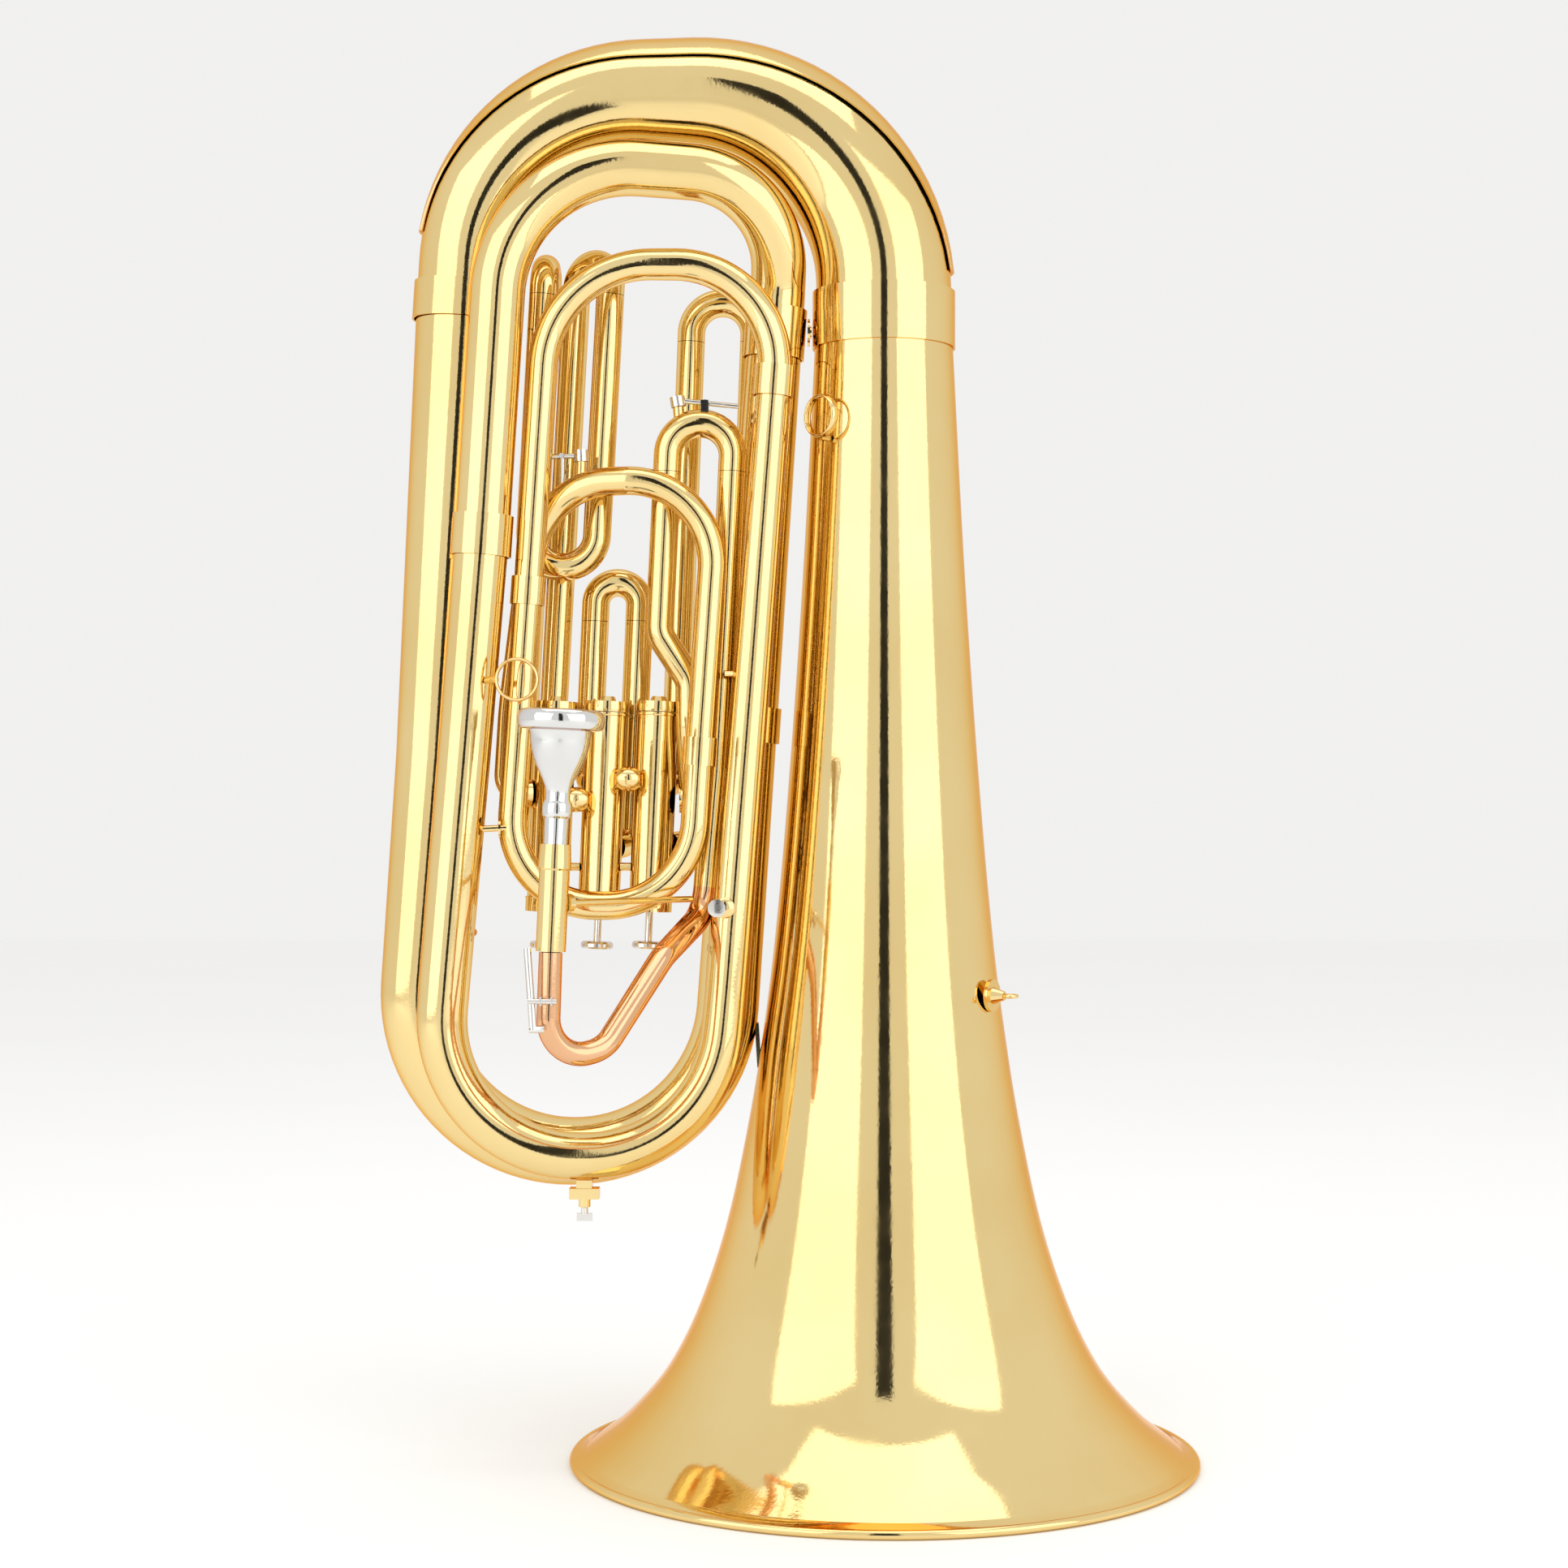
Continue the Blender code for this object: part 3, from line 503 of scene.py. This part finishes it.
MAIN_LEAN = 0.047
ZM = 577.0
mL, mR = leg(-125.9, 587, MAIN_LEAN, -21, ZM), leg(-88.2, 587, MAIN_LEAN, -21, ZM)
crook("main_tuning_slide", mL, mR, MAIN_LEAN, ZM, 605.0, 50)
W = CYL_R - SLIDE_BORE_R
down = Vector((-MAIN_LEAN, 0, -1)).normalized()
a = mL + down * 0.3
tube("main_slide_outer", [(*a, 0), (-130.8, -21, 483, 16), (-113.3, -21, 456, 16), (-113.1, -21, 428, 50),
                          (-111.6, -9.8, 387.5, 7.6), (-119.6, -10.0, 387.5, 0)], [(0, CYL_R), (1, CYL_R)], wall=W)
b = mR + down * 0.3
tube("leadpipe", [(*b, 0), (*leg(-88.2, 587, MAIN_LEAN, -21, 500), 100), (-97.5, -23.6, 404, 100), (-104.6, -23, 322, 24),
                  (-127.0, -68, 298, 28), (-157.0, -108, 250, 24), (-187.0, -125, 243, 20), (-184.9, -125, 303.5, 0)],
     [(0, CYL_R), (0.45, CYL_R), (0.62, 7.2), (1, 6.4)], wall=W, colour=ROSE)

S1_LEAN = 0.0368
Z1 = 660.0
aL, aR = leg(-114.2, 655, S1_LEAN, 26, Z1), leg(-76.8, 655, S1_LEAN, 26, Z1)
crook("first_valve_slide", aL, aR, S1_LEAN, Z1, 683.5, 48)
d1 = Vector((-S1_LEAN, 0, -1)).normalized()
tube("first_slide_outer_left", [(*(aL + d1 * 0.3), 0), (-124.0, 26, 398, 10), (-130.3, 3.0, 396, 0)], [(0, CYL_R), (1, CYL_R)], wall=W)
tube("first_slide_outer_right", [(*(aR + d1 * 0.3), 0), (*leg(-76.8, 655, S1_LEAN, 26, 478), 22), (-104.4, 25, 447, 22), (-104.6, 18, 362, 12),
                                 (-125.4, -0.9, 360, 0)], [(0, CYL_R), (1, CYL_R)], wall=W)

S2_LEAN = 0.044
Z2 = 493.0
bL, bR = leg(-170.1, 502, S2_LEAN, 15, Z2), leg(-144.0, 502, S2_LEAN, 15, Z2)
crook("second_valve_slide", bL, bR, S2_LEAN, Z2, 515.8, 34)
d2 = Vector((-S2_LEAN, 0, -1)).normalized()
tube("second_slide_outer_left", [(*(bL + d2 * 0.3), 0), (-174.8, 15, 398, 10), (-169.9, 1.5, 397, 0)], [(0, CYL_R), (1, CYL_R)], wall=W)
tube("second_slide_outer_right", [(*(bR + d2 * 0.3), 0), (-150.2, 15, 362, 10), (-158.6, 1.8, 360, 0)], [(0, CYL_R), (1, CYL_R)], wall=W)

S3_LEAN = 0.055
Z3 = 683.0
t3, t2 = leg(-161.4, 666, S3_LEAN, -2, Z3), leg(-182.9, 666, S3_LEAN, 17, Z3)
crook("third_valve_slide", t3, t2, S3_LEAN, Z3, 703.0, 30)
d3 = Vector((-S3_LEAN, 0, -1)).normalized()
t1, t4 = leg(-199.3, 692, S3_LEAN, -2, Z3), leg(-199.3, 692, S3_LEAN, 26, Z3)
crook("third_valve_slide_side", t1, t4, S3_LEAN, Z3, 701.0, 30)
tube("third_slide_outer_rear", [(*(t2 + d3 * 0.3), 0), (-198.8, 17, 374, 12), (-195.6, 2.8, 373, 0)], [(0, CYL_R), (1, CYL_R)], wall=W)
tube("third_slide_outer_side", [(*(t4 + d3 * 0.3), 0), (-218.0, 26, 350, 14), (-202.4, 0.8, 349, 0)], [(0, CYL_R), (1, CYL_R)], wall=W)
tube("third_slide_bow", [(*(t3 + d3 * 0.3), 0), (*leg(-161.4, 666, S3_LEAN, -2, 523.5), 19.4), (*leg(-199.3, 692, S3_LEAN, -2, 523.5), 19.4),
                         (*(t1 + d3 * 0.3), 0)], [(0, CYL_R), (1, CYL_R)], wall=W)

# ---------------------------------------------------------------- mouthpiece and receiver
MP_LEAN = 0.045
MP = Vector((-182.3, -125, 362.0))
MPD = Vector((MP_LEAN, 0, 1)).normalized()
lathe("mouthpiece_receiver", MP - MPD * 58.0, MPD,
      [(6.75, 0), (8.2, 0), (8.2, 44), (9.0, 45), (9.0, 48), (8.4, 58), (6.75, 58)], sides=48)
lathe("mouthpiece", MP, MPD,
      [(4.2, -26), (5.8, -26), (6.4, -0.5), (6.7, 14), (7.9, 15.2), (8.2, 17), (8.2, 21), (7.7, 22.6), (6.8, 24), (6.7, 28), (7.2, 31),
       (8.6, 34.4), (10.6, 38.4), (12.7, 42.6), (14.4, 47), (15.6, 51.5), (16.3, 56), (16.7, 60), (17.4, 61.6), (20, 61.9), (22.4, 62.6),
       (23.5, 64.4), (23.8, 67), (23.7, 69), (22.9, 71.4), (21.6, 72.6), (20.0, 73), (17.8, 72.2), (16.2, 70), (15.6, 64), (14.8, 56),
       (13.0, 49), (10.2, 42), (6.8, 35.5), (4.2, 32)],
      SILVER, sides=64, pivot=MP)

# ---------------------------------------------------------------- water keys, screws, rings and braces
fuse("leadpipe_water_key",
     [rod((-197.0, -131.5, 306), (-193.6, -134.5, 262), 2.0), rod((-196.6, -134.6, 277.5), (-180.8, -134.6, 277.5), 1.5),
      rod((-195.8, -134.6, 262.5), (-188.0, -133.5, 262.5), 2.0)], SILVER, pivot=(-188.7, -134.6, 277.5))
fuse("main_slide_water_key",
     [rod((-122.5, -21, 618.6), (-85.0, -21, 614.8), 1.5), rod((-120.6, -21, 620.4), (-119.6, -21, 614.6), 4.4),
      rod((-104.5, -25.0, 616.8), (-104.5, -17.0, 616.8), 1.6)], SILVER, pivot=(-104.5, -21, 616.8))
fuse("bow_water_key",
     [rod((-194.0, -24.6, 585.2), (-173.5, -24.4, 586.0), 1.5), rod((-176.0, -24.4, 589.0), (-175.8, -24.4, 582.4), 4.4),
      rod((-187.0, -28.5, 585.4), (-187.0, -20.5, 585.4), 1.5)], SILVER, pivot=(-187.0, -24.5, 585.4))
fuse("thumb_ring_left",
     [hoop((-209.5, -61.5, 454.5), (0, 1, 0), 11.6, (1.0, 1.8)), rod((-221.0, -61.5, 454.5), (-227.4, -54.6, 454.5), 2.0)])
fuse("thumb_ring_right",
     [hoop((-37.4, -33.9, 607.5), (0.74, 0.67, 0), 11.6, (1.0, 2.6)), rod((-37.8, -34.3, 595.6), (-33.2, -30.0, 595.6), 2.2)])
strap = Vector((math.sin(math.radians(60)), -math.cos(math.radians(60)), 0.0))
S0 = strap * 69.2 + Vector((0, 0, 274.4))
fuse("strap_ring", [rod(S0, S0 + strap * 2.2, 9.3, 48), rod(S0 + strap * 1.8, S0 + strap * 9.0, 5.0, 32, 2.6),
                    hoop(S0 + strap * 12.6, (0, 0, 1), 3.6, (1.2, 1.2), 40)])
fuse("accessory_socket", [block((-172.9, -38, 166.6), (9.0, 9.0, 5.0)), block((-172.9, -38, 161.4), (17.0, 11.0, 6.0)),
                          rod((-172.9, -38, 159), (-172.9, -38, 153.6), 3.4, 32)])
fuse("accessory_screw", [rod((-172.9, -38, 153.2), (-172.9, -38, 149.6), 2.0), block((-172.9, -38, 147.6), (9.0, 1.8, 4.4))], SILVER,
     pivot=(-172.9, -38, 149.0))
lathe("leadpipe_clamp", (-92.4, -48.1, 325.0), (0, -1, 0), [(0, 0), (5.9, 0), (5.8, 0.7), (4.6, 1.7), (2.6, 2.3), (0, 2.4)], sides=64)
lathe("leadpipe_clamp_screw", (-96.8, -51.0, 325.2), (0, -1, 0), [(0, 0), (2.0, 0), (2.0, 2.0), (5.0, 2.6), (5.0, 7.0), (0, 7.6)], SILVER,
      pivot=(-96.8, -51.0, 325.2))
fuse("bell_brace_upper", [rod((-44.8, 0, 661.4), (-43.4, 0, 661.4), 8.0, 40), rod((-43.8, 0, 661.4), (-42.4, 0, 661.4), 3.6)])


# ---------------------------------------------------------------- small soldered trim, shown only
def trim(name, bm, colour=BRASS):
    return finish(name, bm, colour)


for n in (1, 2, 3):
    for z in (329.8, 436.6):
        lathe(f"casing_bead_{n}_{int(z)}", valve_point(n, z - 0.9), VDIR,
              [(CASING_R - 0.3, 0), (CASING_R + 0.9, 0.3), (CASING_R + 1.1, 0.9), (CASING_R + 0.9, 1.5), (CASING_R - 0.3, 1.8)], BRASS)
for n, z in ((1, 348.0), (2, 348.0)):
    a = valve_point(n, z) + Vector((-CASING_R + 0.4, -3.0, 0))
    b = valve_point(n + 1, z) + Vector((CASING_R - 0.4, -3.0, 0))
    trim(f"casing_brace_{n}", rod(a, b, 2.4))
trim("brace_u_to_second", rod((-213.0, -43.5, 371.0), (-232.0, -45.0, 370.0), 1.9))
trim("brace_flange_u", rod((-221.6, -44.3, 370.6), (-220.4, -44.2, 370.6), 5.2))
trim("brace_receiver", rod((-177.0, -121.5, 330.0), (-112.0, -42.0, 330.0), 1.8))
trim("brace_receiver_foot", rod((-177.6, -122.2, 330.0), (-175.2, -119.2, 330.0), 5.2))
trim("brace_l4_to_f", rod((-93.0, -38.0, 459.0), (-86.0, -36.4, 459.0), 2.0))
trim("brace_bell_lower", block((-73.8, 0, 243.5), (2.4, 12.0, 26.0), (1, 0, 0.06)))
trim("brace_first_second", rod((-236.0, -41.0, 311.0), (-262.0, -12.0, 312.0), 2.2))

# saddles and drain nozzles under the water keys
for k, x in enumerate((-183.6, -189.6)):
    trim(f"lead_key_saddle_{k}", block((x, -133.2, 277.5), (1.2, 5.6, 5.0)), SILVER)
for k, y in enumerate((-26.0, -16.0)):
    trim(f"main_key_saddle_{k}", block((-104.5, y, 613.6), (4.4, 1.2, 8.6)), SILVER)
trim("main_key_nozzle", rod((-118.9, -21, 603.0), (-119.8, -21, 614.2), 3.3))
trim("bow_key_nozzle", rod((-176.0, -28.6, 567.0), (-175.9, -24.8, 582.0), 3.3))
trim("bow_key_saddle", rod((-187.0, -25.0, 560.0), (-187.0, -24.6, 584.4), 1.7), SILVER)

# ---------------------------------------------------------------- floor, light and camera


def plain(name, colour, rough):
    m = bpy.data.materials.new(name)
    m.use_nodes = True
    nt = m.node_tree
    p = nt.nodes["Principled BSDF"]
    n = nt.nodes.new("ShaderNodeTexNoise")
    n.inputs["Scale"].default_value = 40.0
    r = nt.nodes.new("ShaderNodeValToRGB")
    r.color_ramp.elements[0].color = (*[c * 0.985 for c in colour], 1)
    r.color_ramp.elements[1].color = (*colour, 1)
    nt.links.new(n.outputs["Fac"], r.inputs["Fac"])
    nt.links.new(r.outputs["Color"], p.inputs["Base Color"])
    p.inputs["Roughness"].default_value = rough
    return m


def sheet_of(name, w, h, loc, rot, mat):
    bm = bmesh.new()
    bmesh.ops.create_grid(bm, x_segments=1, y_segments=1, size=0.5)
    me = bpy.data.meshes.new(name)
    bm.to_mesh(me)
    bm.free()
    ob = bpy.data.objects.new(name, me)
    ob.scale = (w, h, 1)
    ob.location, ob.rotation_euler = loc, rot
    me.materials.append(mat)
    bpy.context.scene.collection.objects.link(ob)
    return ob


sheet_of("floor", 14, 14, (0, 0, 0), (0, 0, 0), plain("floor_paper", (0.985, 0.985, 0.98), 0.9))
dark = plain("dark_cloth", (0.01, 0.01, 0.01), 0.9)
strip = sheet_of("dark_strip", 0.34, 2.0, (0.0, -1.9, 1.02), (math.radians(90), 0, 0), dark)

strip.visible_camera = False


def lamp(name, loc, target, w, h, power, colour=(1, 1, 1)):
    li = bpy.data.lights.new(name, "AREA")
    li.shape, li.size, li.size_y, li.energy, li.color = "RECTANGLE", w, h, power, colour
    ob = bpy.data.objects.new(name, li)
    ob.location = loc
    ob.rotation_euler = (Vector(target) - Vector(loc)).to_track_quat("-Z", "Y").to_euler()
    ob.visible_camera = False
    bpy.context.scene.collection.objects.link(ob)


lamp("soft_left", (-1.75, -1.75, 1.15), (0, 0, 0.45), 2.2, 2.2, 14)
lamp("soft_right", (1.75, -1.75, 1.15), (0, 0, 0.45), 2.2, 2.2, 14)
lamp("soft_top", (0, -0.3, 2.6), (0, 0, 0.4), 2.4, 1.6, 12)
world = bpy.data.worlds.new("studio")
bpy.context.scene.world = world
world.use_nodes = True
bg = world.node_tree.nodes["Background"]
bg.inputs["Color"].default_value = (1.0, 0.995, 0.985, 1)
bg.inputs["Strength"].default_value = 0.88

cam_data = bpy.data.cameras.new("camera")
cam_data.lens, cam_data.sensor_width = 62.8, 36.0
cam_data.shift_y = 0.0243
cam = bpy.data.objects.new("camera", cam_data)
cam.location = ((BELL_X - 58.6) / 1000, -1.606, 0.374)
cam.rotation_euler = (math.radians(90), 0, 0)
bpy.context.scene.collection.objects.link(cam)
bpy.context.scene.camera = cam
bpy.context.scene.view_settings.view_transform = "Standard"
